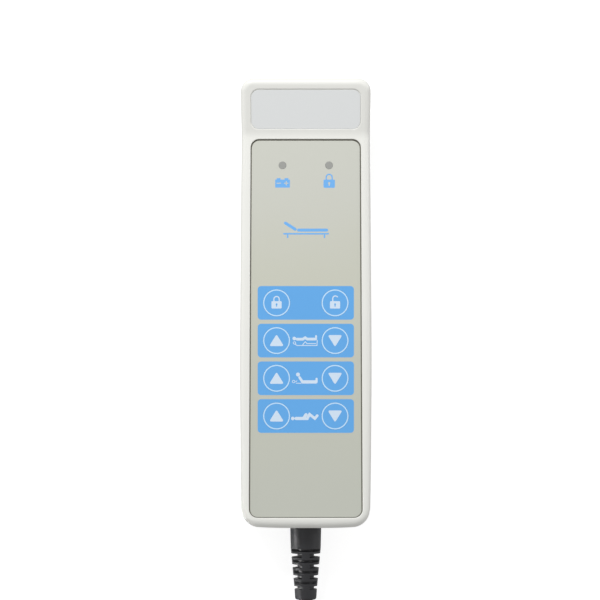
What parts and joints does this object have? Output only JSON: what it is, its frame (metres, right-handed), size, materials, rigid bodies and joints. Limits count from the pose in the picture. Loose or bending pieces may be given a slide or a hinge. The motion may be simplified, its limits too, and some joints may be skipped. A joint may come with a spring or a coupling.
{
  "type": "wired hand control",
  "caption": "Wired hand control for an adjustable bed: slim two-shell handset with raised head, rail hook, film keypad with sprung keys, status windows and a folded cable with a round plug.",
  "frame": {"origin": "under the middle of the housing, on the surface its flat back lies on", "axes": "+Y from the cable end to the head of the control, +X to its right seen from the front, +Z out of the keypad"},
  "size_m": [0.0584, 0.4069, 0.042],
  "materials": {
    "housing": "satin moulded ABS, off-white",
    "hook": "satin moulded ABS, off-white",
    "film": "fine-grained polyester film, warm grey",
    "label": "blank matt film",
    "key": "blue printed film over a hard disc",
    "lens": "smoky grey polycarbonate",
    "rubber": "moulded black PVC",
    "silicone": "grey silicone",
    "board": "solder mask on glass fibre",
    "black_plastic": "black moulded plastic",
    "white_plastic": "natural nylon",
    "led": "epoxy",
    "steel": "zinc plated",
    "nickel": "nickel plated",
    "gold": "gold plated",
    "wire": "coloured PVC insulation"
  },
  "bodies": {
    "control": {"front_housing": "housing", "rear_housing": "housing", "housing_seal": "silicone", "hanger_hook": "hook", "hook_screws": "steel", "housing_screws": "steel", "screw_plugs": "hook", "head_label": "label", "keypad_film": "film", "indicator_lenses": "lens", "keypad_mat": "silicone", "circuit_board": "board", "board_screws": "steel", "switch_bodies": "black_plastic", "status_leds": "led", "controller_chip": "black_plastic", "board_capacitors": "gold", "cable_header": "white_plastic", "cable_connector": "white_plastic", "cable_cores": "wire", "cable_clamp": "black_plastic", "clamp_screws": "steel", "cable_entry": "rubber", "strain_relief": "rubber", "cable_lead": "rubber", "cable_hank": "rubber", "cable_tail": "rubber", "hank_ties": "rubber", "plug_boot": "rubber", "plug_body": "rubber", "plug_sleeve": "nickel", "plug_insulator": "black_plastic", "plug_pins": "gold"},
    "lock_key": {"key_lock": "key", "stem_lock": "black_plastic"},
    "unlock_key": {"key_unlock": "key", "stem_unlock": "black_plastic"},
    "height_up_key": {"key_height_up": "key", "stem_height_up": "black_plastic"},
    "height_down_key": {"key_height_down": "key", "stem_height_down": "black_plastic"},
    "back_up_key": {"key_back_up": "key", "stem_back_up": "black_plastic"},
    "back_down_key": {"key_back_down": "key", "stem_back_down": "black_plastic"},
    "leg_up_key": {"key_leg_up": "key", "stem_leg_up": "black_plastic"},
    "leg_down_key": {"key_leg_down": "key", "stem_leg_down": "black_plastic"}
  },
  "joints": [
    {"name": "press_lock", "type": "slide", "parent": "control", "child": "lock_key", "axis": [0, 0, -1], "range_m": [0, 0.0004], "stiffness_N_per_m": 4500, "springref_m": -0.00005},
    {"name": "press_unlock", "type": "slide", "parent": "control", "child": "unlock_key", "axis": [0, 0, -1], "range_m": [0, 0.0004], "stiffness_N_per_m": 4500, "springref_m": -0.00005},
    {"name": "press_height_up", "type": "slide", "parent": "control", "child": "height_up_key", "axis": [0, 0, -1], "range_m": [0, 0.0004], "stiffness_N_per_m": 4500, "springref_m": -0.00005},
    {"name": "press_height_down", "type": "slide", "parent": "control", "child": "height_down_key", "axis": [0, 0, -1], "range_m": [0, 0.0004], "stiffness_N_per_m": 4500, "springref_m": -0.00005},
    {"name": "press_back_up", "type": "slide", "parent": "control", "child": "back_up_key", "axis": [0, 0, -1], "range_m": [0, 0.0004], "stiffness_N_per_m": 4500, "springref_m": -0.00005},
    {"name": "press_back_down", "type": "slide", "parent": "control", "child": "back_down_key", "axis": [0, 0, -1], "range_m": [0, 0.0004], "stiffness_N_per_m": 4500, "springref_m": -0.00005},
    {"name": "press_leg_up", "type": "slide", "parent": "control", "child": "leg_up_key", "axis": [0, 0, -1], "range_m": [0, 0.0004], "stiffness_N_per_m": 4500, "springref_m": -0.00005},
    {"name": "press_leg_down", "type": "slide", "parent": "control", "child": "leg_down_key", "axis": [0, 0, -1], "range_m": [0, 0.0004], "stiffness_N_per_m": 4500, "springref_m": -0.00005}
  ]
}
